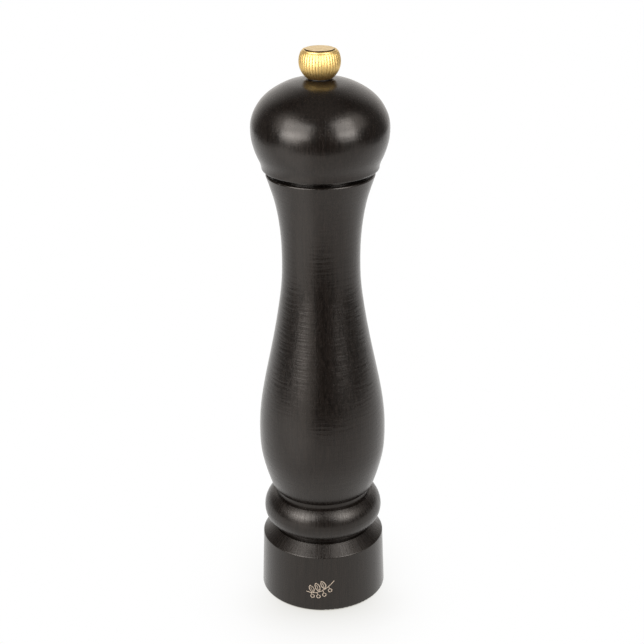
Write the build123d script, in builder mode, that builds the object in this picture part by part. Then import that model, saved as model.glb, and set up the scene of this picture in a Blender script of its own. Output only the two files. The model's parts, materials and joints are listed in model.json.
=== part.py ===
from build123d import *
import os
from math import atan, degrees, sqrt

# Manual pepper mill, 300 mm tall: a turned wooden body, a head that turns, and a fluted brass knob.
# The head turns a square spindle, which turns a toothed rotor inside a fixed toothed ring. Screwing
# the knob down lifts the spindle against a spring and closes the grinding gap.
# Origin: centre of the foot, on the surface the mill stands on. +Z up, millimetres.
os.makedirs("parts", exist_ok=True)

# ---------------------------------------------------------------- driving dimensions
HEIGHT = 300.0

# outside of the wooden body: radius and height of each feature
FOOT_R, FOOT_EDGE = 34.0, 0.8
SHOULDER_R, SHOULDER_Z, SHOULDER_EDGE = 32.9, 32.2, 0.7
CHAMFER_R, CHAMFER_Z, CHAMFER_EDGE = 26.9, 37.6, 0.4
LOW_GROOVE_R = 25.65
BEAD_R, BEAD_Z = 31.9, 48.1
BEAD_LOWER_ARC, BEAD_UPPER_ARC = 10.5, 12.2
BEAD_TOP_R, BEAD_TOP_EDGE, BEAD_TOP_RISE = 27.1, 0.4, 0.4
HIGH_GROOVE_R, HIGH_GROOVE_TOP = 25.6, 60.6
BELLY_R, BELLY_Z = 33.65, 95.2
WAIST_R, WAIST_Z = 20.18, 191.7
LIP_R, LIP_EDGE, BODY_TOP = 27.7, 0.8, 237.5

# hollows in the wooden body
BORE_R = 14.0
POCKET_R, POCKET_TOP = 18.5, 44.0
RECESS_R, RECESS_TOP = 24.2, 11.0
SOFT_EDGE = 0.8

# wooden head
SHADOW_GAP, SHADOW_R = 2.5, 23.6
RIM_R, RIM_EDGE = 29.7, 0.8
HEAD_R, HEAD_Z = 34.8, 260.8
SEAT_R, HEAD_TOP = 8.5, 285.2
SPIGOT_R, SPIGOT_L = 13.7, 13.5
HEAD_BORE_R, HEAD_BORE_TOP = 4.6, 279.5
HEAD_EYE_R = 2.9

# spindle: 6 mm square bar, threaded M5 at the top, riveted over under the rotor
SHAFT_AF, SHAFT_CORNER, SHAFT_TOP = 6.0, 0.5, 276.0
THREAD_R, THREAD_EDGE, THREAD_TOP = 2.5, 0.45, 296.0
STUB_R, RIVET_R, RIVET_H, RIVET_EDGE = 2.9, 4.0, 1.3, 1.0

# grinder: a fixed ring and a rotor with the same cone, so lifting the rotor closes the gap
STATOR_R, STATOR_TOP = 14.9, 25.0
COLLAR_R, COLLAR_H = 18.2, 2.0
MOUTH_R, THROAT_R, THROAT_Z, FUNNEL_R = 12.6, 10.6, 18.0, 13.6
COARSE_GAP = 0.6
ROTOR_BOTTOM, ROTOR_TOP = 10.8, 24.4
CRUSHER_FOOT_R, CRUSHER_FOOT_Z, CRUSHER_TOP_R = 8.4, 19.0, 6.9
ROTOR_TEETH, STATOR_TEETH, TOOTH_W, TOOTH_DEPTH, TOOTH_LEAN = 30, 36, 0.8, 0.6, 24.0
ROTOR_FLUTES, STATOR_FLUTES, FLUTE_R, FLUTE_LEAN = 5, 8, 2.4, 32.0
KEY_PLACE_R, KEY_L, KEY_W = 13.7, 1.8, 4.0
WASHER_R, WASHER_T = 5.6, 1.0

# plate, bridge, bush, washer and spring
PLATE_R, PLATE_T, PLATE_HOLE_R = 23.8, 1.2, 12.8
BRIDGE_R, BRIDGE_T, BRIDGE_W, BRIDGE_TOP, BRIDGE_BEND = 16.5, 1.2, 13.0, 42.5, 2.0
TAB_W, TAB_OUT = 6.0, 0.5
BUSH_R, BUSH_HOLE_R, BUSH_FLANGE_R, BUSH_FLANGE_T, BUSH_PROUD = 5.2, 4.1, 7.4, 1.2, 0.5
THRUST_R, THRUST_T = 7.2, 0.8
SPRING_R, SPRING_WIRE, SPRING_TURNS = 5.2, 1.0, 5.0

# knob
KNOB_R, KNOB_Z = 10.4, 293.8
KNOB_WASHER_R, KNOB_WASHER_HOLE_R, KNOB_WASHER_T = 5.6, 2.9, 0.4
REEDS, REED_GAP_DEG, REED_DEPTH = 36, 4.0, 0.4
LEDGE_Z = 298.8
RIM_TOP_R, RIM_TOP, RIM_TOP_EDGE = 8.5, 299.5, 0.25
CORE_R, CORE_UP = 5.4, 0.3
CAP_R, CAP_T, CAP_EDGE = 7.25, 1.1, 0.15
CAP_SIDE_GAP = 0.1
NUT_AF, NUT_H, NUT_UP = 8.0, 4.0, 0.3
CORE_BORE_R, CORE_BORE_TOP = 2.7, 298.0

# fasteners
SCREW_SHANK_R, SCREW_TIP, SCREW_L, SCREW_HEAD_R, SCREW_HEAD_H = 1.4, 1.2, 9.5, 2.6, 1.4
SCREWS, SCREW_PLACE_R = 3, 21.1
DRIVER_L, DRIVER_W, DRIVER_T = 23.0, 12.0, 1.2
NAIL_SHANK_R, NAIL_TIP, NAIL_L, NAIL_HEAD_R, NAIL_HEAD_H, NAIL_X = 1.1, 1.2, 9.5, 2.1, 0.9, 8.3

# clearances
FIT = 0.02
SLIP = 0.05
SLIDE = 0.1

# ---------------------------------------------------------------- heights and angles that follow
PLATE_BOTTOM = RECESS_TOP - PLATE_T
CONE = (MOUTH_R - THROAT_R) / (THROAT_Z - RECESS_TOP)
CONE_ANGLE = degrees(atan(CONE))
CONE_MID_Z = (RECESS_TOP + THROAT_Z) / 2
CONE_MID_R = (MOUTH_R + THROAT_R) / 2
CONE_H = THROAT_Z - RECESS_TOP
FLUTE_MID_Z = (THROAT_Z + STATOR_TOP) / 2
BUSH_BOTTOM = BRIDGE_TOP - BRIDGE_T - BUSH_FLANGE_T
THRUST_BOTTOM = BUSH_BOTTOM - SLIP - THRUST_T
HEAD_SEAT = BODY_TOP + SLIDE
HEAD_BOTTOM = BODY_TOP + SHADOW_GAP
SPIGOT_BOTTOM = BODY_TOP - SPIGOT_L
DRIVER_BOTTOM = SPIGOT_BOTTOM - DRIVER_T
KNOB_WASHER_BOTTOM = HEAD_TOP + FIT
KNOB_BOTTOM = KNOB_WASHER_BOTTOM + KNOB_WASHER_T + FIT
CAP_BOTTOM = HEIGHT - CAP_T
CORE_BOTTOM = KNOB_BOTTOM + CORE_UP
NUT_BOTTOM = CORE_BOTTOM + NUT_UP


# ================================================================ wooden body
bead_bottom_centre = BEAD_R - BEAD_LOWER_ARC
bead_top_centre = BEAD_R - BEAD_UPPER_ARC
bead_bottom = BEAD_Z - sqrt(BEAD_LOWER_ARC**2 - (LOW_GROOVE_R - bead_bottom_centre) ** 2)
bead_top = BEAD_Z + sqrt(BEAD_UPPER_ARC**2 - (BEAD_TOP_R - bead_top_centre) ** 2)
bead_low_mid = (bead_bottom_centre + BEAD_LOWER_ARC * sqrt(0.5), BEAD_Z - BEAD_LOWER_ARC * sqrt(0.5))
bead_high_mid = (bead_top_centre + BEAD_UPPER_ARC * 0.9, BEAD_Z + BEAD_UPPER_ARC * sqrt(0.19))

with BuildPart() as wood_body:
    with BuildSketch(Plane.XZ) as body_outline:
        with BuildLine():
            Line((RECESS_R + SOFT_EDGE, 0), (FOOT_R - FOOT_EDGE, 0))
            CenterArc((FOOT_R - FOOT_EDGE, FOOT_EDGE), FOOT_EDGE, -90, 90)
            Polyline(
                (FOOT_R, FOOT_EDGE),
                (SHOULDER_R, SHOULDER_Z),
                (CHAMFER_R, CHAMFER_Z),
                (LOW_GROOVE_R, CHAMFER_Z),
                (LOW_GROOVE_R, bead_bottom),
            )
            ThreePointArc((LOW_GROOVE_R, bead_bottom), bead_low_mid, (BEAD_R, BEAD_Z))
            ThreePointArc((BEAD_R, BEAD_Z), bead_high_mid, (BEAD_TOP_R, bead_top))
            Polyline(
                (BEAD_TOP_R, bead_top),
                (HIGH_GROOVE_R, bead_top + BEAD_TOP_RISE),
                (HIGH_GROOVE_R, HIGH_GROOVE_TOP),
            )
            Spline(
                (HIGH_GROOVE_R, HIGH_GROOVE_TOP),
                (28.8, 66.5),
                (32.2, 78.6),
                (BELLY_R, BELLY_Z),
                tangents=[(1, 0.9), (0, 1)],
            )
            Spline(
                (BELLY_R, BELLY_Z),
                (31.0, 120.8),
                (25.45, 147.8),
                (21.45, 171.7),
                (WAIST_R, WAIST_Z),
                tangents=[(0, 1), (0, 1)],
            )
            Spline(
                (WAIST_R, WAIST_Z),
                (21.65, 213.6),
                (25.0, 228.6),
                (LIP_R, BODY_TOP - LIP_EDGE),
                tangents=[(0, 1), (0.3, 1)],
            )
            CenterArc((LIP_R - LIP_EDGE, BODY_TOP - LIP_EDGE), LIP_EDGE, 0, 90)
            Polyline(
                (LIP_R - LIP_EDGE, BODY_TOP),
                (BORE_R + SOFT_EDGE, BODY_TOP),
                (BORE_R, BODY_TOP - SOFT_EDGE),
                (BORE_R, POCKET_TOP + POCKET_R - BORE_R),
                (POCKET_R, POCKET_TOP),
                (POCKET_R, RECESS_TOP),
                (RECESS_R, RECESS_TOP),
                (RECESS_R, SOFT_EDGE),
                (RECESS_R + SOFT_EDGE, 0),
            )
        make_face()
        # the turned corners are sanded a little round
        for corner_r, corner_z, edge in (
            (SHOULDER_R, SHOULDER_Z, SHOULDER_EDGE),
            (CHAMFER_R, CHAMFER_Z, CHAMFER_EDGE),
            (BEAD_TOP_R, bead_top, BEAD_TOP_EDGE),
        ):
            fillet(body_outline.vertices().sort_by_distance((corner_r, corner_z))[0], edge)
    revolve(axis=Axis.Z)
    with BuildSketch(Plane.XY.offset(RECESS_TOP)):
        with PolarLocations(SCREW_PLACE_R, SCREWS, start_angle=90):
            Circle(SCREW_SHANK_R + FIT)
    extrude(amount=SCREW_L, mode=Mode.SUBTRACT)

# ================================================================ grinder, the part that stays still
with BuildPart() as base_plate:
    with BuildSketch(Plane.XY.offset(PLATE_BOTTOM)):
        Circle(PLATE_R)
        Circle(PLATE_HOLE_R, mode=Mode.SUBTRACT)
        with PolarLocations(SCREW_PLACE_R, SCREWS, start_angle=90):
            Circle(SCREW_SHANK_R + SLIDE, mode=Mode.SUBTRACT)
        with PolarLocations(BRIDGE_R - BRIDGE_T / 2, 2):
            Rectangle(BRIDGE_T + 2 * SLIP, TAB_W + 2 * SLIP, mode=Mode.SUBTRACT)
        with PolarLocations(KEY_PLACE_R, 2, start_angle=90):
            Rectangle(KEY_L + 2 * SLIP, KEY_W + 2 * SLIP, mode=Mode.SUBTRACT)
    extrude(amount=PLATE_T)

with BuildPart() as stator:
    with BuildSketch(Plane.XZ):
        with BuildLine():
            Polyline(
                (MOUTH_R, RECESS_TOP),
                (STATOR_R, RECESS_TOP),
                (STATOR_R, STATOR_TOP - COLLAR_H),
                (COLLAR_R, STATOR_TOP - COLLAR_H),
                (COLLAR_R, STATOR_TOP),
                (FUNNEL_R, STATOR_TOP),
                (THROAT_R, THROAT_Z),
                close=True,
            )
        make_face()
    revolve(axis=Axis.Z)
    # fine teeth, cut into the cone at a lean
    with Locations((0, 0, CONE_MID_Z)):
        with PolarLocations(CONE_MID_R, STATOR_TEETH):
            Box(
                2 * TOOTH_DEPTH,
                TOOTH_W,
                1.5 * CONE_H,
                rotation=(TOOTH_LEAN, -CONE_ANGLE, 0),
                mode=Mode.SUBTRACT,
            )
    # coarse flutes in the funnel, which feed the corns down to the teeth
    with Locations((0, 0, FLUTE_MID_Z)):
        with PolarLocations(THROAT_R, STATOR_FLUTES):
            Cylinder(FLUTE_R, 1.4 * CONE_H, rotation=(FLUTE_LEAN, CONE_ANGLE, 0), mode=Mode.SUBTRACT)
    # slots in the collar for the legs of the bridge
    with BuildSketch(Plane.XY.offset(STATOR_TOP - COLLAR_H)):
        with PolarLocations(COLLAR_R, 2):
            Rectangle(2 * (COLLAR_R - BRIDGE_R + BRIDGE_T + SLIP), BRIDGE_W + 2 * SLIP)
    extrude(amount=COLLAR_H, mode=Mode.SUBTRACT)
    # keys that drop into the plate, so that the ring can't turn
    with BuildSketch(Plane.XY.offset(PLATE_BOTTOM)):
        with PolarLocations(KEY_PLACE_R, 2, start_angle=90):
            Rectangle(KEY_L, KEY_W)
    extrude(amount=PLATE_T)

with BuildPart() as bridge:
    with BuildSketch(Plane.XZ) as strap:
        with Locations((0, (BRIDGE_TOP + RECESS_TOP) / 2)):
            Rectangle(2 * BRIDGE_R, BRIDGE_TOP - RECESS_TOP)
        fillet(strap.vertices().group_by(Axis.Z)[-1], BRIDGE_BEND)
        with Locations((0, (BRIDGE_TOP - BRIDGE_T + RECESS_TOP) / 2)):
            Rectangle(
                2 * (BRIDGE_R - BRIDGE_T),
                BRIDGE_TOP - BRIDGE_T - RECESS_TOP,
                mode=Mode.SUBTRACT,
            )
    extrude(amount=BRIDGE_W / 2, both=True)
    with BuildSketch(Plane.XY.offset(PLATE_BOTTOM - TAB_OUT)):
        with PolarLocations(BRIDGE_R - BRIDGE_T / 2, 2):
            Rectangle(BRIDGE_T, TAB_W)
    extrude(amount=PLATE_T + TAB_OUT + BRIDGE_T)
    with BuildSketch(Plane.XY.offset(BRIDGE_TOP)):
        Circle(BUSH_R + FIT)
    extrude(amount=-BRIDGE_T, mode=Mode.SUBTRACT)

with BuildPart() as bush:
    with BuildSketch(Plane.XY.offset(BUSH_BOTTOM)):
        Circle(BUSH_FLANGE_R)
    extrude(amount=BUSH_FLANGE_T)
    with BuildSketch(Plane.XY.offset(BUSH_BOTTOM + BUSH_FLANGE_T)):
        Circle(BUSH_R)
    extrude(amount=BRIDGE_T + BUSH_PROUD)
    with BuildSketch(Plane.XY.offset(BUSH_BOTTOM)):
        Circle(BUSH_HOLE_R)
    extrude(amount=BUSH_FLANGE_T + BRIDGE_T + BUSH_PROUD, mode=Mode.SUBTRACT)

with BuildPart() as base_screws:
    with BuildSketch(Plane.XY.offset(PLATE_BOTTOM - SCREW_HEAD_H)):
        with PolarLocations(SCREW_PLACE_R, SCREWS, start_angle=90):
            Circle(SCREW_HEAD_R)
    extrude(amount=SCREW_HEAD_H)
    chamfer(base_screws.edges().group_by(Axis.Z)[0], SCREW_HEAD_H / 3)
    with BuildSketch(Plane.XY.offset(PLATE_BOTTOM)):
        with PolarLocations(SCREW_PLACE_R, SCREWS, start_angle=90):
            Circle(SCREW_SHANK_R)
    extrude(amount=SCREW_L)
    chamfer(base_screws.edges().group_by(Axis.Z)[-1], SCREW_TIP)
    with BuildSketch(Plane.XY.offset(PLATE_BOTTOM - SCREW_HEAD_H)):
        with PolarLocations(SCREW_PLACE_R, SCREWS, start_angle=90):
            Rectangle(SCREW_HEAD_R, SCREW_HEAD_R / 5)
            Rectangle(SCREW_HEAD_R / 5, SCREW_HEAD_R)
    extrude(amount=SCREW_HEAD_H / 2, mode=Mode.SUBTRACT)

# ================================================================ grinder, the part that turns
with BuildPart() as shaft:
    with BuildSketch(Plane.XY.offset(ROTOR_BOTTOM)):
        RectangleRounded(SHAFT_AF, SHAFT_AF, SHAFT_CORNER)
    extrude(amount=SHAFT_TOP - ROTOR_BOTTOM)
    with BuildSketch(Plane.XY.offset(SHAFT_TOP)):
        Circle(THREAD_R)
    extrude(amount=THREAD_TOP - SHAFT_TOP)
    chamfer(shaft.edges().group_by(Axis.Z)[-1], THREAD_EDGE)
    # the lower end passes through the washer and is riveted over
    with BuildSketch(Plane.XY.offset(ROTOR_BOTTOM)):
        Circle(STUB_R)
    extrude(amount=-WASHER_T)
    with BuildSketch(Plane.XY.offset(ROTOR_BOTTOM - WASHER_T)):
        Circle(RIVET_R)
    extrude(amount=-RIVET_H)
    fillet(shaft.edges().group_by(Axis.Z)[0], RIVET_EDGE)

with BuildPart() as rotor:
    with BuildSketch(Plane.XZ):
        with BuildLine():
            Polyline(
                (0, ROTOR_BOTTOM),
                (MOUTH_R - COARSE_GAP + (RECESS_TOP - ROTOR_BOTTOM) * CONE, ROTOR_BOTTOM),
                (THROAT_R - COARSE_GAP, THROAT_Z),
                (CRUSHER_FOOT_R, CRUSHER_FOOT_Z),
                (CRUSHER_TOP_R, ROTOR_TOP),
                (0, ROTOR_TOP),
                close=True,
            )
        make_face()
    revolve(axis=Axis.Z)
    with Locations((0, 0, CONE_MID_Z)):
        with PolarLocations(CONE_MID_R - COARSE_GAP, ROTOR_TEETH):
            Box(
                2 * TOOTH_DEPTH,
                TOOTH_W,
                1.6 * CONE_H,
                rotation=(-TOOTH_LEAN, -CONE_ANGLE, 0),
                mode=Mode.SUBTRACT,
            )
    with Locations((0, 0, FLUTE_MID_Z)):
        with PolarLocations(CRUSHER_FOOT_R, ROTOR_FLUTES):
            Cylinder(FLUTE_R, 1.6 * CONE_H, rotation=(-FLUTE_LEAN, 0, 0), mode=Mode.SUBTRACT)
    with BuildSketch(Plane.XY.offset(ROTOR_BOTTOM)):
        RectangleRounded(SHAFT_AF + 2 * FIT, SHAFT_AF + 2 * FIT, SHAFT_CORNER)
    extrude(amount=ROTOR_TOP - ROTOR_BOTTOM, mode=Mode.SUBTRACT)

with BuildPart() as rotor_washer:
    with BuildSketch(Plane.XY.offset(ROTOR_BOTTOM - WASHER_T)):
        Circle(WASHER_R)
        Circle(STUB_R + FIT, mode=Mode.SUBTRACT)
    extrude(amount=WASHER_T)

with BuildPart() as thrust_washer:
    with BuildSketch(Plane.XY.offset(THRUST_BOTTOM)):
        Circle(THRUST_R)
        RectangleRounded(SHAFT_AF + 2 * SLIP, SHAFT_AF + 2 * SLIP, SHAFT_CORNER, mode=Mode.SUBTRACT)
    extrude(amount=THRUST_T)

with BuildPart() as spring:
    spring_room = THRUST_BOTTOM - ROTOR_TOP - SPRING_WIRE - 2 * FIT
    spring_bottom = ROTOR_TOP + SPRING_WIRE / 2 + FIT
    with BuildLine() as coil:
        Helix(spring_room / SPRING_TURNS, spring_room, SPRING_R, center=(0, 0, spring_bottom))
    with BuildSketch(Plane(origin=coil.line @ 0, z_dir=coil.line % 0)):
        Circle(SPRING_WIRE / 2)
    sweep(path=coil.line, is_frenet=True)

# ================================================================ head
with BuildPart() as wood_head:
    with BuildSketch(Plane.XZ):
        with BuildLine():
            Polyline(
                (HEAD_BORE_R, SPIGOT_BOTTOM),
                (SPIGOT_R - SOFT_EDGE, SPIGOT_BOTTOM),
                (SPIGOT_R, SPIGOT_BOTTOM + SOFT_EDGE),
                (SPIGOT_R, HEAD_SEAT),
                (SHADOW_R, HEAD_SEAT),
                (SHADOW_R, HEAD_BOTTOM),
                (RIM_R - RIM_EDGE, HEAD_BOTTOM),
            )
            CenterArc((RIM_R - RIM_EDGE, HEAD_BOTTOM + RIM_EDGE), RIM_EDGE, -90, 90)
            Spline(
                (RIM_R, HEAD_BOTTOM + RIM_EDGE),
                (31.85, 247.0),
                (33.9, 253.0),
                (HEAD_R, HEAD_Z),
                tangents=[(0.1, 1), (0, 1)],
            )
            Spline(
                (HEAD_R, HEAD_Z),
                (32.2, 270.5),
                (27.5, 276.5),
                (18.3, 282.4),
                (SEAT_R, HEAD_TOP),
                tangents=[(0, 1), (-1, 0.2)],
            )
            Polyline(
                (SEAT_R, HEAD_TOP),
                (HEAD_EYE_R, HEAD_TOP),
                (HEAD_EYE_R, HEAD_BORE_TOP),
                (HEAD_BORE_R, HEAD_BORE_TOP),
                (HEAD_BORE_R, SPIGOT_BOTTOM),
            )
        make_face()
    revolve(axis=Axis.Z)
    with BuildSketch(Plane.XY.offset(SPIGOT_BOTTOM)):
        with PolarLocations(NAIL_X, 2):
            Circle(NAIL_SHANK_R + FIT)
    extrude(amount=NAIL_L, mode=Mode.SUBTRACT)

with BuildPart() as driver_plate:
    with BuildSketch(Plane.XY.offset(DRIVER_BOTTOM)):
        RectangleRounded(DRIVER_L, DRIVER_W, DRIVER_W / 5)
        Rectangle(SHAFT_AF + 2 * SLIDE, SHAFT_AF + 2 * SLIDE, mode=Mode.SUBTRACT)
        with PolarLocations(NAIL_X, 2):
            Circle(NAIL_SHANK_R + FIT, mode=Mode.SUBTRACT)
    extrude(amount=DRIVER_T)

with BuildPart() as driver_nails:
    with BuildSketch(Plane.XY.offset(DRIVER_BOTTOM - NAIL_HEAD_H)):
        with PolarLocations(NAIL_X, 2):
            Circle(NAIL_HEAD_R)
    extrude(amount=NAIL_HEAD_H)
    fillet(driver_nails.edges().group_by(Axis.Z)[0], NAIL_HEAD_H * 0.7)
    with BuildSketch(Plane.XY.offset(DRIVER_BOTTOM)):
        with PolarLocations(NAIL_X, 2):
            Circle(NAIL_SHANK_R)
    extrude(amount=NAIL_L)
    chamfer(driver_nails.edges().group_by(Axis.Z)[-1], NAIL_TIP, NAIL_SHANK_R * 0.8)

# ================================================================ knob
with BuildPart() as knob_washer:
    with BuildSketch(Plane.XY.offset(KNOB_WASHER_BOTTOM)):
        Circle(KNOB_WASHER_R)
        Circle(KNOB_WASHER_HOLE_R, mode=Mode.SUBTRACT)
    extrude(amount=KNOB_WASHER_T)

with BuildPart(mode=Mode.PRIVATE) as reed_gap:
    with BuildSketch(Plane.XZ):
        Circle(KNOB_R + 1)
        Circle(KNOB_R - REED_DEPTH, mode=Mode.SUBTRACT)
        with Locations((KNOB_R + 1, 0)):
            Rectangle(2 * (KNOB_R + 1), 2 * (KNOB_R + 1), mode=Mode.INTERSECT)
    revolve(axis=Axis.Z, revolution_arc=REED_GAP_DEG)

with BuildPart() as knob_shell:
    with Locations((0, 0, KNOB_Z)):
        Sphere(KNOB_R)
        with PolarLocations(0, REEDS):
            add(reed_gap.part, mode=Mode.SUBTRACT)
    split(bisect_by=Plane.XY.offset(LEDGE_Z), keep=Keep.BOTTOM)
    split(bisect_by=Plane.XY.offset(KNOB_BOTTOM), keep=Keep.TOP)
    with BuildSketch(Plane.XY.offset(LEDGE_Z)):
        Circle(RIM_TOP_R)
    extrude(amount=RIM_TOP - LEDGE_Z)
    fillet(knob_shell.edges().group_by(Axis.Z)[-1], RIM_TOP_EDGE)
    with BuildSketch(Plane.XY.offset(KNOB_BOTTOM)):
        Circle(CORE_R)
    extrude(amount=RIM_TOP - KNOB_BOTTOM, mode=Mode.SUBTRACT)
    with BuildSketch(Plane.XY.offset(CAP_BOTTOM)):
        Circle(CAP_R + CAP_SIDE_GAP)
    extrude(amount=CAP_T, mode=Mode.SUBTRACT)

with BuildPart() as knob_core:
    with BuildSketch(Plane.XY.offset(CORE_BOTTOM)):
        Circle(CORE_R - FIT)
    extrude(amount=CAP_BOTTOM - CORE_BOTTOM)
    with BuildSketch(Plane.XY.offset(CORE_BOTTOM)):
        Circle(CORE_BORE_R)
    extrude(amount=CORE_BORE_TOP - CORE_BOTTOM, mode=Mode.SUBTRACT)
    with BuildSketch(Plane.XY.offset(CORE_BOTTOM)):
        RegularPolygon(NUT_AF / 2 + FIT, 6, major_radius=False)
    extrude(amount=NUT_BOTTOM + NUT_H - CORE_BOTTOM, mode=Mode.SUBTRACT)

with BuildPart() as knob_nut:
    with BuildSketch(Plane.XY.offset(NUT_BOTTOM)):
        RegularPolygon(NUT_AF / 2, 6, major_radius=False)
        Circle(THREAD_R + SLIP, mode=Mode.SUBTRACT)
    extrude(amount=NUT_H)

with BuildPart() as knob_cap:
    with BuildSketch(Plane.XY.offset(CAP_BOTTOM)):
        Circle(CAP_R)
    extrude(amount=CAP_T)
    fillet(knob_cap.edges().group_by(Axis.Z)[-1], CAP_EDGE)

# ================================================================ label and export
pieces = {
    "wood_body": wood_body,
    "base_plate": base_plate,
    "base_screws": base_screws,
    "stator": stator,
    "bridge": bridge,
    "bush": bush,
    "thrust_washer": thrust_washer,
    "spring": spring,
    "shaft": shaft,
    "rotor": rotor,
    "rotor_washer": rotor_washer,
    "wood_head": wood_head,
    "driver_plate": driver_plate,
    "driver_nails": driver_nails,
    "knob_washer": knob_washer,
    "knob_shell": knob_shell,
    "knob_core": knob_core,
    "knob_nut": knob_nut,
    "knob_cap": knob_cap,
}
for name, piece in pieces.items():
    piece.part.label = name
    export_step(piece.part, f"parts/{name}.step")
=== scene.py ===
import json
import math

import bpy
from mathutils import Matrix, Vector


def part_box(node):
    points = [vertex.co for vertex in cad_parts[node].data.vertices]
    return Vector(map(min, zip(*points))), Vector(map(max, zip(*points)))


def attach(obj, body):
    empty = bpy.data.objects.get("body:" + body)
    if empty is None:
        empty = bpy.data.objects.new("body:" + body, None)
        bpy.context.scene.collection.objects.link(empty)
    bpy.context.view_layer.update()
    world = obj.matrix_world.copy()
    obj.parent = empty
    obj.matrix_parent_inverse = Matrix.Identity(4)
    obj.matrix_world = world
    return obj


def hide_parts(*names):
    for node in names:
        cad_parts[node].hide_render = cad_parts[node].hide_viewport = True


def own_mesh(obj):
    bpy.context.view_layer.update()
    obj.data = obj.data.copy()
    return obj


# The mill's finishes, the pieces that need a finer shape than the CAD gives them (reeded knob,
# threaded shaft, spring), the printed mark, and a studio like the photo's.
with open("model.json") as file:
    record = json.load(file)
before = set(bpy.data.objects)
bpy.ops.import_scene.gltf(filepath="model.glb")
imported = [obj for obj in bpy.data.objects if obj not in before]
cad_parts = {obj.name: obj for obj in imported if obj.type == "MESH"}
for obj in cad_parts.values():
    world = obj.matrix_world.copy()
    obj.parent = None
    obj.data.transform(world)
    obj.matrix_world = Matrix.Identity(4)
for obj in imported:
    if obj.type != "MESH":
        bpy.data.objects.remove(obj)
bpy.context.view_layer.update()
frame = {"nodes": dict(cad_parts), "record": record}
MM = 0.001
REEDS = 36

# sizes of the part that its boxes do not give, as in the part's source
SHOULDER_R, SHOULDER_Z, FOOT_EDGE = 32.9 * MM, 32.2 * MM, 0.8 * MM
BAR_TOP = 276.0 * MM
KNOB_Z = 293.8 * MM
LEDGE_Z = 298.8 * MM
RIM_TOP_R = 8.5 * MM


# ================================================================ node and mesh helpers
class Shader:
    """One material's node tree, with short calls to add nodes and join them."""

    def __init__(self, name):
        self.material = bpy.data.materials.new(name)
        self.material.use_nodes = True
        self.nodes = self.material.node_tree.nodes
        self.links = self.material.node_tree.links
        self.surface = self.nodes["Principled BSDF"]
        self.place = self.add("ShaderNodeTexCoord").outputs["Object"]

    def add(self, kind, inputs=None, **settings):
        """A node with its settings, and with each input set to a value or joined to a socket."""
        node = self.nodes.new(kind)
        for key, value in settings.items():
            setattr(node, key, value)
        for key, value in (inputs or {}).items():
            self.put(node.inputs[key], value)
        return node

    def put(self, socket, value):
        """Sets an input to a value, or joins it to an output."""
        if isinstance(value, bpy.types.NodeSocket):
            self.links.new(value, socket)
        else:
            socket.default_value = value

    def math(self, operation, a, b=0.0):
        return self.add("ShaderNodeMath", {0: a, 1: b}, operation=operation).outputs[0]

    def stretched(self, scale):
        """The object's own coordinates in metres, scaled along each axis."""
        node = self.add("ShaderNodeMapping", {"Vector": self.place, "Scale": scale})
        return node.outputs["Vector"]

    def noise(self, scale, detail=2.0, rough=0.5):
        """Noise from 0 to 1, with so many features to the metre along each axis."""
        node = self.add(
            "ShaderNodeTexNoise",
            {"Vector": self.stretched(scale), "Scale": 1.0, "Detail": detail, "Roughness": rough},
        )
        return node.outputs["Fac"]

    def remap(self, value, low, high, to_low, to_high):
        """The value carried smoothly from one range to another, and held at its ends."""
        node = self.add(
            "ShaderNodeMapRange",
            {0: value, 1: low, 2: high, 3: to_low, 4: to_high},
            interpolation_type="SMOOTHSTEP",
        )
        return node.outputs[0]

    def blend(self, factor, a, b):
        """A colour between a and b."""
        node = self.add("ShaderNodeMix", {0: factor}, data_type="RGBA")
        self.put(node.inputs[6], a)
        self.put(node.inputs[7], b)
        return node.outputs[2]

    def bump(self, height, distance, strength, under=None):
        """A normal for relief of that depth in metres, on top of the one under it."""
        node = self.add("ShaderNodeBump", {"Height": height, "Distance": distance, "Strength": strength})
        if under is not None:
            self.links.new(under, node.inputs["Normal"])
        return node.outputs["Normal"]

    def finish(self, **inputs):
        """Sets the surface's sockets, such as Base_Color, and returns the material."""
        for key, value in inputs.items():
            self.put(self.surface.inputs[key.replace("_", " ")], value)
        return self.material


def rgb(r, g, b):
    return (r, g, b, 1.0)


def make_object(name, vertices, faces, material, body, smooth_angle=32.0):
    """A mesh piece in the row frame, in metres, that rides on a CAD body."""
    mesh = bpy.data.meshes.new(name)
    mesh.from_pydata(vertices, [], faces)
    mesh.validate()
    mesh.shade_smooth()
    mesh.set_sharp_from_angle(angle=math.radians(smooth_angle))
    mesh.materials.append(material)
    piece = bpy.data.objects.new(name, mesh)
    bpy.context.scene.collection.objects.link(piece)
    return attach(piece, body)


def grid_faces(rows, columns, close_rows=False):
    """Quads over a grid of points whose columns go all the way round."""
    faces = []
    for i in range(rows if close_rows else rows - 1):
        for j in range(columns):
            a = i * columns + j
            b = i * columns + (j + 1) % columns
            c = ((i + 1) % rows) * columns + (j + 1) % columns
            d = ((i + 1) % rows) * columns + j
            faces.append((a, b, c, d))
    return faces


def turned(outline, segments, relief=None):
    """Vertices and faces of a closed outline of (radius, height, relief share), turned round Z."""
    vertices = []
    for radius, height, share in outline:
        for j in range(segments):
            turn = 2 * math.pi * j / segments
            r = radius - (share * relief(turn) if relief else 0.0)
            vertices.append((r * math.cos(turn), r * math.sin(turn), height))
    return vertices, grid_faces(len(outline), segments, close_rows=True)


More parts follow.
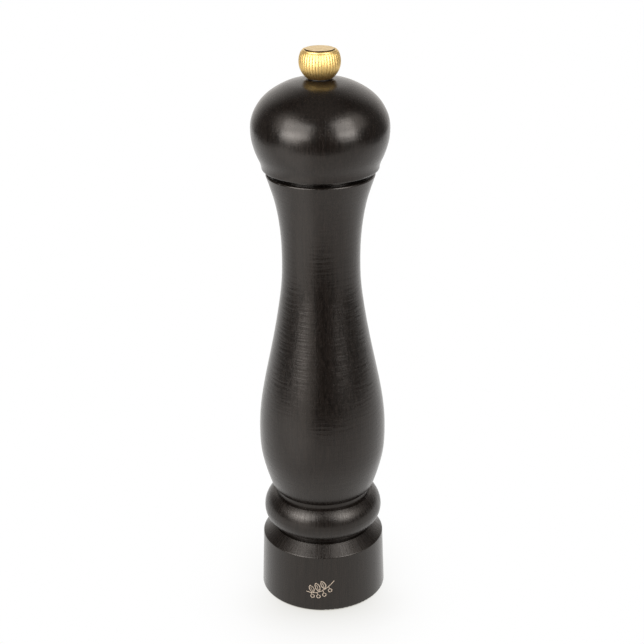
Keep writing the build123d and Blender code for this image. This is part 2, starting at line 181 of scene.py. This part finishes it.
def tube(path, radius, sides):
    """A round wire along a path of points, with flat ends."""
    vertices = []
    count = len(path)
    for i, point in enumerate(path):
        ahead = path[min(i + 1, count - 1)] - path[max(i - 1, 0)]
        out = Vector((point.x, point.y, 0)).normalized()
        up = ahead.normalized().cross(out).normalized()
        out = up.cross(ahead.normalized())
        for k in range(sides):
            turn = 2 * math.pi * k / sides
            vertices.append(point + radius * (math.cos(turn) * out + math.sin(turn) * up))
    faces = grid_faces(count, sides)
    faces.append(tuple(range(sides)))
    faces.append(tuple(range((count - 1) * sides + sides - 1, (count - 1) * sides - 1, -1)))
    return vertices, faces


# ================================================================ materials
def dark_wood():
    """Beech under a near-black stain and a satin lacquer."""
    s = Shader("dark_stained_beech")
    axes = s.add("ShaderNodeSeparateXYZ", {"Vector": s.place})
    height = axes.outputs["Z"]
    # growth rings about a pith outside the blank, gently wavy along the grain
    pith_x, pith_y = -55 * MM, -30 * MM
    rings_per_metre = 210.0
    wander = s.noise((9.0, 9.0, 4.0), detail=3.0)
    from_x = s.math("SUBTRACT", axes.outputs["X"], pith_x)
    from_y = s.math("SUBTRACT", axes.outputs["Y"], pith_y)
    distance = s.math("SQRT", s.math("ADD", s.math("POWER", from_x, 2.0), s.math("POWER", from_y, 2.0)))
    rings = s.math("MULTIPLY", distance, rings_per_metre)
    rings = s.math("ADD", rings, s.math("MULTIPLY", wander, 2.4))
    late = s.remap(s.math("FRACT", rings), 0.86, 0.99, 0.0, 1.0)
    # pores and rays: short dashes along the grain, which read as dots on end grain
    pores = s.noise((2600.0, 2600.0, 260.0), detail=2.0, rough=0.6)
    pore = s.remap(pores, 0.56, 0.72, 0.0, 1.0)
    flecks = s.noise((900.0, 900.0, 130.0), detail=3.0, rough=0.6)
    fibre = s.noise((1500.0, 1500.0, 30.0), detail=3.0, rough=0.6)
    # lathe ripples on the long curves, and radial streaks where the foot's slopes cut the grain:
    # each gives way to the next over a band of height
    foot_top = (30 * MM, 33 * MM)
    belly_start = (62 * MM, 80 * MM)
    head_start = (225 * MM, 240 * MM)
    slopes = s.remap(height, *belly_start, 1.0, 0.0)
    ripple = s.noise((90.0, 90.0, 750.0), detail=2.0, rough=0.6)
    ripple = s.math("MULTIPLY", ripple, s.math("SUBTRACT", 1.0, slopes))
    ripple = s.math("MULTIPLY", ripple, s.remap(height, *head_start, 1.0, 0.3))
    spoke = s.add("ShaderNodeVectorMath", {0: s.stretched((1.0, 1.0, 0.0))}, operation="NORMALIZE")
    spokes = s.add("ShaderNodeTexNoise", {"Vector": spoke.outputs[0], "Scale": 38.0, "Detail": 3.0})
    cut = s.math("MULTIPLY", slopes, s.remap(height, *foot_top, 0.0, 1.0))
    streak = s.math("MULTIPLY", s.remap(spokes.outputs["Fac"], 0.35, 0.65, 0.0, 1.0), cut)
    tone = s.math("ADD", s.math("MULTIPLY", fibre, 0.5), s.math("MULTIPLY", flecks, 0.5))
    tone = s.math("SUBTRACT", tone, s.math("MULTIPLY", late, 0.12))
    dark, light = rgb(0.0022, 0.0016, 0.0013), rgb(0.0075, 0.0053, 0.0042)
    stain = s.blend(s.remap(tone, 0.3, 0.7, 0.0, 1.0), dark, light)
    stain = s.blend(s.math("MULTIPLY", pore, 0.45), stain, rgb(0.0022, 0.0018, 0.0016))
    roughness = s.math("ADD", s.remap(flecks, 0.3, 0.7, 0.225, 0.27), s.math("MULTIPLY", pore, 0.05))
    roughness = s.math("ADD", roughness, s.math("MULTIPLY", streak, 0.10))
    normal = s.bump(s.math("SUBTRACT", 1.0, pore), 0.02 * MM, 0.55)
    normal = s.bump(ripple, 0.12 * MM, 0.8, normal)
    normal = s.bump(streak, 0.03 * MM, 0.5, normal)
    normal = s.bump(late, 0.02 * MM, 0.5, normal)
    warm = rgb(1.0, 0.93, 0.87)
    return s.finish(Base_Color=stain, Roughness=roughness, IOR=1.42, Specular_Tint=warm, Normal=normal)


def brass(name, light, dark, rough_low, rough_high, grain):
    """The start of a lacquered brass: an uneven film and fine turning marks."""
    s = Shader(name)
    film = s.noise((500.0, 500.0, 500.0), detail=3.0)
    marks = s.noise(grain, detail=2.0)
    colour = s.blend(s.remap(film, 0.3, 0.75, 0.0, 1.0), light, dark)
    rough = s.remap(film, 0.3, 0.7, rough_low, rough_high)
    normal = s.bump(marks, 0.003 * MM, 0.3)
    return s, colour, rough, normal


def knob_brass():
    """Brass that is darker between the reeds, and darkest low on the knob, where a painted reflection of
    the dark wood below is put into its colour.
    """
    s, colour, rough, normal = brass(
        "knob_brass", rgb(0.73, 0.53, 0.21), rgb(0.69, 0.485, 0.18), 0.46, 0.52, (300.0, 300.0, 300.0)
    )
    axes = s.add("ShaderNodeSeparateXYZ", {"Vector": s.place})
    turn = s.math("ARCTAN2", axes.outputs["Y"], axes.outputs["X"])
    phase = s.math("FRACT", s.math("MULTIPLY", turn, REEDS / (2 * math.pi)))
    hollow = s.remap(s.math("ABSOLUTE", s.math("SUBTRACT", phase, 0.5)), 0.30, 0.5, 0.0, 0.6)
    below = s.remap(axes.outputs["Z"], LEDGE_Z - 0.5 * MM, LEDGE_Z, 1.0, 0.0)
    colour = s.blend(s.math("MULTIPLY", hollow, below), colour, rgb(0.52, 0.31, 0.09))
    # painted reflection: low on the knob the colour goes to dark brown, standing in for the dark wood
    # head mirrored below it
    low = s.remap(axes.outputs["Z"], KNOB_Z - 8.3 * MM, KNOB_Z - 2.8 * MM, 0.75, 0.0)
    colour = s.blend(low, colour, rgb(0.30, 0.16, 0.05))
    return s.finish(Base_Color=colour, Metallic=1.0, Roughness=rough, Normal=normal)


def cap_brass():
    """The top disc: fine turned rings, and a dark line of painted shade on its side wall at the edge."""
    s, colour, rough, normal = brass(
        "cap_brass", rgb(0.62, 0.46, 0.19), rgb(0.50, 0.35, 0.13), 0.30, 0.40, (1500.0, 1500.0, 600.0)
    )
    outward = s.add("ShaderNodeVectorMath", {0: s.stretched((1.0, 1.0, 0.0))}, operation="LENGTH")
    radius = outward.outputs["Value"]
    ring_pitch = 0.22 * MM
    side_shade_start, side_shade_full = 7.08 * MM, 7.2 * MM
    rings = s.math("SINE", s.math("MULTIPLY", radius, 2 * math.pi / ring_pitch))
    normal = s.bump(rings, 0.004 * MM, 0.5, normal)
    # painted shade: past the rim of its top face the disc's side wall is coloured near black, as if in
    # shadow
    colour = s.blend(s.remap(radius, side_shade_start, side_shade_full, 0.0, 1.0), colour, rgb(0.05, 0.028, 0.012))
    return s.finish(Base_Color=colour, Metallic=1.0, Roughness=rough, Normal=normal)


def steel(name, light, dark, rough_low, rough_high, grain):
    """Metal with soft blotches and a fine grain."""
    s = Shader(name)
    blotch = s.noise((160.0, 160.0, 160.0), detail=4.0)
    lines = s.noise(grain, detail=2.0)
    tone = s.math("ADD", s.math("MULTIPLY", blotch, 0.6), s.math("MULTIPLY", lines, 0.4))
    colour = s.blend(s.remap(tone, 0.3, 0.7, 0.0, 1.0), light, dark)
    rough = s.remap(blotch, 0.3, 0.7, rough_low, rough_high)
    normal = s.bump(lines, 0.01 * MM, 0.5)
    return s.finish(Base_Color=colour, Metallic=1.0, Roughness=rough, Normal=normal)


def plastic(name, light, dark, rough):
    """Moulded plastic with a fine spark-eroded texture."""
    s = Shader(name)
    speck = s.noise((2200.0, 2200.0, 2200.0), detail=2.0)
    flow = s.noise((120.0, 120.0, 120.0), detail=2.0)
    colour = s.blend(s.remap(flow, 0.3, 0.7, 0.0, 1.0), light, dark)
    uneven = s.remap(speck, 0.3, 0.7, rough - 0.06, rough + 0.06)
    normal = s.bump(speck, 0.02 * MM, 0.4)
    return s.finish(Base_Color=colour, Roughness=uneven, IOR=1.5, Normal=normal)


def print_ink():
    """The tan transfer on the foot: slightly uneven, so that a little of the stain shows through."""
    s = Shader("print_ink")
    cover = s.noise((3000.0, 3000.0, 3000.0), detail=2.0)
    colour = s.blend(s.remap(cover, 0.35, 0.62, 0.0, 1.0), rgb(0.20, 0.155, 0.115), rgb(0.40, 0.33, 0.26))
    return s.finish(Base_Color=colour, Roughness=0.5, IOR=1.5)


MATERIALS = {"dark_wood": dark_wood(), "knob_brass": knob_brass(), "cap_brass": cap_brass()}

# lighter and darker colour, smoothest and roughest, and the features to the metre of the grain
for name, *look in (
    ("zinc_plate", rgb(0.62, 0.62, 0.60), rgb(0.50, 0.50, 0.49), 0.28, 0.42, (300.0, 3000.0, 3000.0)),
    ("screw_steel", rgb(0.58, 0.57, 0.54), rgb(0.44, 0.43, 0.41), 0.25, 0.40, (2500.0, 2500.0, 2500.0)),
    ("hardened_steel", rgb(0.34, 0.33, 0.32), rgb(0.20, 0.20, 0.20), 0.30, 0.48, (1800.0, 1800.0, 900.0)),
    ("washer_steel", rgb(0.60, 0.60, 0.59), rgb(0.47, 0.47, 0.46), 0.25, 0.38, (2500.0, 2500.0, 400.0)),
    ("spring_steel", rgb(0.50, 0.50, 0.50), rgb(0.38, 0.38, 0.38), 0.20, 0.32, (900.0, 900.0, 4000.0)),
    ("shaft_aluminium", rgb(0.80, 0.80, 0.81), rgb(0.68, 0.68, 0.69), 0.26, 0.38, (4000.0, 4000.0, 60.0)),
):
    MATERIALS[name] = steel(name, *look)

# lighter and darker colour, and roughness
for name, *look in (
    ("bush_nylon", rgb(0.72, 0.70, 0.62), rgb(0.62, 0.60, 0.52), 0.45),
    ("washer_nylon", rgb(0.030, 0.029, 0.028), rgb(0.018, 0.018, 0.017), 0.5),
    ("core_plastic", rgb(0.022, 0.022, 0.022), rgb(0.014, 0.014, 0.014), 0.5),
):
    MATERIALS[name] = plastic(name, *look)


def paint_cad_nodes():
    """Each CAD node gets the finish of its slot in the record."""
    for part in frame["record"]["subparts"]:
        node = frame["nodes"][part["node"]]
        for slot in node.material_slots:
            slot.material = MATERIALS[part["material_slot"]]


# ================================================================ knob
def fluted_knob():
    """The brass shell: a ball of rounded reeds under a narrow ledge and a smooth rim."""
    low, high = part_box("knob_shell")
    cap_low, cap_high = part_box("knob_cap")
    core_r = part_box("knob_core")[1].x + 0.02 * MM
    cap_r = cap_high.x + 0.1 * MM
    ball_r = high.x
    foot_w = 0.5 * MM
    depth = 0.26 * MM
    steps = 64
    points_per_reed = 14
    # shares of the way up the ball in which the reeds rise, run out, and round over to the ledge
    rise, run_out, shoulder = 0.04, 0.10, 0.035
    start = math.asin((low.z - KNOB_Z) / ball_r)
    end = math.asin((LEDGE_Z - KNOB_Z) / ball_r)

    def valley(turn):
        """How deep the surface lies: 0 on a reed's crown and most between two reeds."""
        # 2 would make every reed a full half round
        roundness = 1.94
        phase = (turn * REEDS / (2 * math.pi)) % 1.0 - 0.5
        return 1.0 - math.sqrt(max(0.0, 1.0 - (roundness * phase) ** 2))

    outline = [(core_r, low.z, 0.0), (core_r + foot_w, low.z, 0.0)]
    for i in range(steps + 1):
        share = i / steps
        latitude = start + (end - start) * share
        fade = min(1.0, share / rise, (1.0 - share) / run_out)
        relief = depth * math.sqrt(max(0.0, fade))
        round_off = 0.10 * MM * (1.0 - min(1.0, (1.0 - share) / shoulder)) ** 2
        radius = ball_r * math.cos(latitude) - round_off
        outline.append((radius, KNOB_Z + ball_r * math.sin(latitude), relief))
    # a fine groove where the rim stands on the ledge, and the rim's rounded top
    groove = 0.05 * MM
    outline += [
        (RIM_TOP_R + 0.30 * MM, LEDGE_Z, 0.0),
        (RIM_TOP_R + groove, LEDGE_Z - groove, 0.0),
        (RIM_TOP_R, LEDGE_Z, 0.0),
    ]
    edge = 0.25 * MM
    bend_steps = 6
    for i in range(bend_steps + 1):
        turn = math.pi / 2 * i / bend_steps
        radius = RIM_TOP_R - edge + edge * math.cos(turn)
        outline.append((radius, high.z - edge + edge * math.sin(turn), 0.0))
    # down beside the cap to its seat on the core
    bevel = 0.08 * MM
    outline += [
        (cap_r + bevel, high.z, 0.0),
        (cap_r, high.z - bevel, 0.0),
        (cap_r, cap_low.z, 0.0),
        (core_r, cap_low.z, 0.0),
    ]
    vertices, faces = turned(outline, REEDS * points_per_reed, valley)
    piece = make_object("knob_shell_fluted", vertices, faces, MATERIALS["knob_brass"], "knob", 50.0)
    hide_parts("knob_shell")


# ================================================================ spindle
def threaded_shaft():
    """The square bar with its riveted end, and a real thread where the CAD has a plain rod."""
    low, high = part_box("shaft")
    bar_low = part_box("rotor")[0].z
    half = 3.0 * MM
    corner = 0.5 * MM
    bend_steps = 4
    ring = []
    for quarter in range(4):
        for i in range(bend_steps + 1):
            turn = math.pi / 2 * (quarter + i / bend_steps)
            centre = math.pi / 4 + math.pi / 2 * quarter
            cx = (half - corner) * math.copysign(1, math.cos(centre))
            cy = (half - corner) * math.copysign(1, math.sin(centre))
            ring.append((cx + corner * math.cos(turn), cy + corner * math.sin(turn)))
    # height and size of each section, with a bevel at the top
    bevel = 0.3 * MM
    levels = [(bar_low, 1.0), (BAR_TOP - bevel, 1.0), (BAR_TOP, 0.93)]
    vertices = [(x * k, y * k, z) for z, k in levels for x, y in ring]
    faces = grid_faces(len(levels), len(ring))
    faces.append(tuple(reversed(range(len(ring)))))
    faces.append(tuple(range(2 * len(ring), 3 * len(ring))))
    bar = make_object("shaft_bar", vertices, faces, MATERIALS["shaft_aluminium"], "spindle")
    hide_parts("shaft")

    # riveted lower end, a dome under the washer
    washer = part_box("rotor_washer")[0].z
    rivet_r = 4.0 * MM
    stub_r = 2.9 * MM
    outline = [(0.0, bar_low, 0.0), (stub_r, bar_low, 0.0), (stub_r, washer, 0.0), (rivet_r, washer, 0.0)]
    dome_steps = 8
    for i in range(dome_steps + 1):
        turn = math.pi / 2 * i / dome_steps
        outline.append((rivet_r * math.cos(turn), washer - (washer - low.z) * math.sin(turn) ** 0.8, 0.0))
    vertices, faces = turned(outline, 64)
    rivet = make_object("shaft_rivet", vertices, faces, MATERIALS["shaft_aluminium"], "spindle")

    # M5 thread: once a turn the radius falls from a flat crest to a flat root and rises again. The
    # thread grows over its first turn above the bar and ends in a tapered tip.
    pitch = 0.8 * MM
    crest = 2.5 * MM
    depth = 0.43 * MM
    tip = 0.5 * MM
    flank, flat = 1.6, 0.25
    sides = 48
    rows_per_turn = 10
    rows = int((high.z - BAR_TOP) / pitch * rows_per_turn)
    vertices = []
    for i in range(rows + 1):
        z = BAR_TOP + (high.z - BAR_TOP) * i / rows
        for k in range(sides):
            turn = 2 * math.pi * k / sides
            phase = ((z - BAR_TOP) / pitch - k / sides) % 1.0
            fall = min(1.0, max(0.0, flank * abs(2 * phase - 1) - flat))
            start = min(1.0, (z - BAR_TOP) / pitch)
            taper = min(0.0, (high.z - z) - tip)
            r = crest - depth * fall * start + taper
            vertices.append((r * math.cos(turn), r * math.sin(turn), z))
    faces = grid_faces(rows + 1, sides)
    faces.append(tuple(reversed(range(sides))))
    faces.append(tuple(range(rows * sides, (rows + 1) * sides)))
    thread = make_object("shaft_thread", vertices, faces, MATERIALS["shaft_aluminium"], "spindle", 40.0)


def coil_spring():
    """A compression spring with closed ends."""
    outer_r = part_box("spring")[1].x
    rotor_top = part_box("rotor")[1].z
    washer_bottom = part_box("thrust_washer")[0].z
    wire = 0.5 * MM
    mean_r = outer_r - wire
    bottom = rotor_top + wire
    top = washer_bottom - wire
    turns = 6.5
    # the turns that lie closed at each end, and the height they rise
    closed = 1.0
    closed_rise = 2.05 * wire
    steps = 48
    path = []
    for i in range(int(turns * steps) + 1):
        done = i / steps
        if done < closed:
            z = bottom + closed_rise * done / closed
        elif done > turns - closed:
            z = top - closed_rise * (turns - done) / closed
        else:
            share = (done - closed) / (turns - 2 * closed)
            z = bottom + closed_rise + (top - bottom - 2 * closed_rise) * share
        turn = 2 * math.pi * done
        path.append(Vector((mean_r * math.cos(turn), mean_r * math.sin(turn), z)))
    vertices, faces = tube(path, wire, 12)
    piece = make_object("coil_spring", vertices, faces, MATERIALS["spring_steel"], "turning_washer", 50.0)
    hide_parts("spring")
    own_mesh(piece)


# ================================================================ the mark on the foot
def foot_mark():
    """A generic printed sprig of peppercorns, wrapped on to the foot."""
    foot_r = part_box("wood_body")[1].x
    taper = (foot_r - SHOULDER_R) / (SHOULDER_Z - FOOT_EDGE)
    proud = 0.03 * MM
    # the sprig is drawn about its own middle, in millimetres across and up
    middle = Vector((-1.7, 15.2))
    size = 1.22
    vertices = []
    faces = []

    def wrap(u, v):
        """The place on the foot that many millimetres along from its front and up from the table."""
        radius = foot_r - taper * (v * MM - FOOT_EDGE) + proud
        turn = -math.pi / 2 + u * MM / foot_r
        return (radius * math.cos(turn), radius * math.sin(turn), v * MM)

    def ribbon(points, width, closed=False):
        """A flat printed line of that width, in millimetres."""
        first = len(vertices)
        count = len(points)
        for i, point in enumerate(points):
            before = points[i - 1] if (i > 0 or closed) else point
            after = points[(i + 1) % count] if (i < count - 1 or closed) else point
            side = (after - before).normalized()
            side = Vector((-side.y, side.x)) * width / 2
            for q in (point + side, point - side):
                vertices.append(wrap(*(middle + size * q)))
        for i in range(count if closed else count - 1):
            a = first + 2 * i
            b = first + 2 * ((i + 1) % count)
            faces.append((a, a + 1, b + 1, b))

    def curve(a, b, c, steps=14):
        """A bend from a to c, drawn towards b."""
        return [
            a * (1 - t) ** 2 + b * 2 * t * (1 - t) + c * t**2
            for t in (i / steps for i in range(steps + 1))
        ]

    def circle(centre, radius, steps=20):
        """Points round a circle, once each."""
        turns = [2 * math.pi * i / steps for i in range(steps)]
        return [centre + radius * Vector((math.cos(turn), math.sin(turn))) for turn in turns]

    # a stem, three leaves with their veins, and four berries on stalks
    line = 0.36
    stem = curve(Vector((-6.4, -3.0)), Vector((0.0, -5.0)), Vector((6.2, 2.6)), 24)
    ribbon(stem, line)
    for at, reach in ((6, 3.6), (11, 4.4), (16, 4.0)):
        root = stem[at]
        tip = root + Vector((-1.6, reach))
        ribbon(curve(root, root + Vector((-2.6, reach * 0.4)), tip), line)
        ribbon(curve(root, root + Vector((1.2, reach * 0.7)), tip), line)
        ribbon([root + (tip - root) * k for k in (0.15, 0.8)], line * 0.7)
    for at, drop in ((4, 1.7), (9, 2.0), (14, 2.2), (19, 2.0)):
        root = stem[at]
        berry = root + Vector((0.7, -drop))
        ribbon([root, berry + Vector((-0.25, 0.75))], line * 0.8)
        ribbon(circle(berry, 0.8), line, closed=True)
    piece = make_object("foot_mark", vertices, faces, print_ink(), "mill_body")


# ================================================================ studio
def toward(azimuth, height):
    """A direction from the mill, in degrees: 0 is the front, 90 the right-hand side."""
    a, e = math.radians(azimuth), math.radians(height)
    return Vector((math.sin(a) * math.cos(e), -math.cos(a) * math.cos(e), math.sin(e)))


def studio_world():
    """A dark room with a lit backdrop, two high panels, a low one at the front left, and dim light."""
    world = bpy.data.worlds.new("studio")
    bpy.context.scene.world = world
    world.use_nodes = True
    nodes, links = world.node_tree.nodes, world.node_tree.links
    nodes.clear()
    place = nodes.new("ShaderNodeTexCoord").outputs["Generated"]
    total = None
    # azimuth, height, full within, gone beyond (all in degrees), strength
    for azimuth, height, inner, outer, strength in (
        (180, 12, 10, 60, 1.3),
        (-66, 34, 5, 26, 1.9),
        (66, 34, 5, 26, 2.2),
        (-36, 4, 4, 26, 1.5),
        (38, 4, 4, 26, 0.12),
        (-115, 15, 10, 45, 0.12),
        (115, 15, 10, 45, 0.15),
        (0, 80, 10, 40, 0.3),
    ):
        facing = nodes.new("ShaderNodeVectorMath")
        facing.operation = "DOT_PRODUCT"
        facing.inputs[1].default_value = toward(azimuth, height)
        links.new(place, facing.inputs[0])
        glow = nodes.new("ShaderNodeMapRange")
        glow.interpolation_type = "SMOOTHSTEP"
        glow.inputs["From Min"].default_value = math.cos(math.radians(outer))
        glow.inputs["From Max"].default_value = math.cos(math.radians(inner))
        glow.inputs["To Max"].default_value = strength
        links.new(facing.outputs["Value"], glow.inputs["Value"])
        if total is None:
            total = glow.outputs["Result"]
        else:
            both = nodes.new("ShaderNodeMath")
            links.new(total, both.inputs[0])
            links.new(glow.outputs["Result"], both.inputs[1])
            total = both.outputs[0]
    room = nodes.new("ShaderNodeBackground")
    room.inputs["Color"].default_value = rgb(1.0, 0.96, 0.92)
    links.new(total, room.inputs["Strength"])
    # the camera itself sees plain white
    backdrop = nodes.new("ShaderNodeBackground")
    backdrop.inputs["Color"].default_value = rgb(1.0, 1.0, 1.0)
    seen = nodes.new("ShaderNodeMixShader")
    links.new(nodes.new("ShaderNodeLightPath").outputs["Is Camera Ray"], seen.inputs[0])
    links.new(room.outputs[0], seen.inputs[1])
    links.new(backdrop.outputs[0], seen.inputs[2])
    links.new(seen.outputs[0], nodes.new("ShaderNodeOutputWorld").inputs[0])


def area_light(name, place, target, width, height, power):
    """A rectangular lamp that faces its target."""
    light = bpy.data.lights.new(name, "AREA")
    light.shape = "RECTANGLE"
    light.size = width
    light.size_y = height
    light.energy = power
    lamp = bpy.data.objects.new(name, light)
    lamp.location = place
    lamp.rotation_euler = (Vector(target) - Vector(place)).to_track_quat("-Z", "Y").to_euler()
    bpy.context.scene.collection.objects.link(lamp)


def studio_lights():
    """Two soft boxes aimed at the head, and two lower ones aimed low on the body."""
    area_light("softbox_left", (-0.28, -0.32, 0.42), (0.0, 0.0, 0.27), 0.38, 0.34, 2.4)
    area_light("softbox_right", (0.29, -0.32, 0.46), (0.0, 0.0, 0.27), 0.26, 0.36, 1.9)
    area_light("low_left", (-0.38, -0.34, 0.27), (0.0, 0.0, 0.08), 0.28, 0.26, 1.1)
    area_light("low_right", (0.36, -0.36, 0.29), (0.0, 0.0, 0.08), 0.26, 0.26, 0.8)


def floor():
    """A white table that glows with light of its own. In front of the mill it is brighter on the left, as
    the reflections show: a painted pool of light.
    """
    x0, x1, y0, y1, z = -0.75, 0.75, -0.46, 2.0, -0.1 * MM
    mesh = bpy.data.meshes.new("floor")
    mesh.from_pydata([(x0, y0, z), (x1, y0, z), (x1, y1, z), (x0, y1, z)], [], [(0, 1, 2, 3)])
    s = Shader("floor_white")
    s.nodes.remove(s.surface)
    axes = s.add("ShaderNodeSeparateXYZ", {"Vector": s.place})
    # painted light: to reflections the table is an emission, brighter on the left in front of the mill
    front = s.remap(axes.outputs["Y"], -160 * MM, -80 * MM, 1.0, 0.0)
    left = s.remap(axes.outputs["X"], -160 * MM, -40 * MM, 1.0, 0.0)
    ahead = s.math("ADD", s.math("MULTIPLY", left, 0.7), 1.05)
    level = s.add("ShaderNodeMix", {0: front, 2: 1.2, 3: ahead})
    lit = s.add("ShaderNodeEmission", {"Color": rgb(1.0, 0.99, 0.975), "Strength": level.outputs[0]})
    # to the camera it is plain white, but for a painted soft shadow close around the foot, deepest in
    # front, from how much of the sky the mill hides
    open_sky = s.add("ShaderNodeAmbientOcclusion", {"Distance": 52 * MM}, samples=24).outputs["AO"]
    depth = s.remap(axes.outputs["Y"], -40 * MM, 0.0, 1.24, 0.44)
    aside = s.math("ABSOLUTE", axes.outputs["X"])
    depth = s.math("MULTIPLY", depth, s.remap(aside, 20 * MM, 65 * MM, 1.0, 0.35))
    painted_shadow_amount = s.math("MULTIPLY", s.math("POWER", s.math("SUBTRACT", 1.0, open_sky), 1.2), depth)
    # painted shadow: the table's colour goes towards a warm grey where the mill hides its sky
    shade = s.blend(painted_shadow_amount, rgb(1.0, 1.0, 1.0), rgb(0.50, 0.48, 0.41))
    table = s.add("ShaderNodeEmission", {"Color": shade, "Strength": 1.0})
    seen = s.add("ShaderNodeLightPath").outputs["Is Camera Ray"]
    both = s.add("ShaderNodeMixShader", {0: seen, 1: lit.outputs[0], 2: table.outputs[0]})
    # seen from below it is clear, so that the mill's underside shows
    clear = s.add("ShaderNodeBsdfTransparent")
    under = s.add("ShaderNodeNewGeometry").outputs["Backfacing"]
    either = s.add("ShaderNodeMixShader", {0: under, 1: both.outputs[0], 2: clear.outputs[0]})
    s.links.new(either.outputs[0], s.nodes["Material Output"].inputs["Surface"])
    mesh.materials.append(s.material)
    piece = bpy.data.objects.new("floor", mesh)
    bpy.context.scene.collection.objects.link(piece)


def camera():
    """The reference view: from the front and well above the knob, looking down at the mill."""
    down, lean = 22.63, 0.42
    lens = bpy.data.cameras.new("camera")
    lens.sensor_width = 36.0
    lens.lens = 79.6
    eye = bpy.data.objects.new("camera", lens)
    tilt = Matrix.Rotation(math.radians(90 - down), 4, "X")
    roll = Matrix.Rotation(math.radians(-lean), 4, "Z")
    eye.matrix_world = Matrix.Translation((0.0002, -0.6889, 0.4432)) @ tilt @ roll
    bpy.context.scene.collection.objects.link(eye)
    bpy.context.scene.camera = eye


paint_cad_nodes()
fluted_knob()
threaded_shaft()
coil_spring()
foot_mark()
floor()
studio_world()
studio_lights()
camera()
bpy.context.scene.view_settings.view_transform = "Standard"
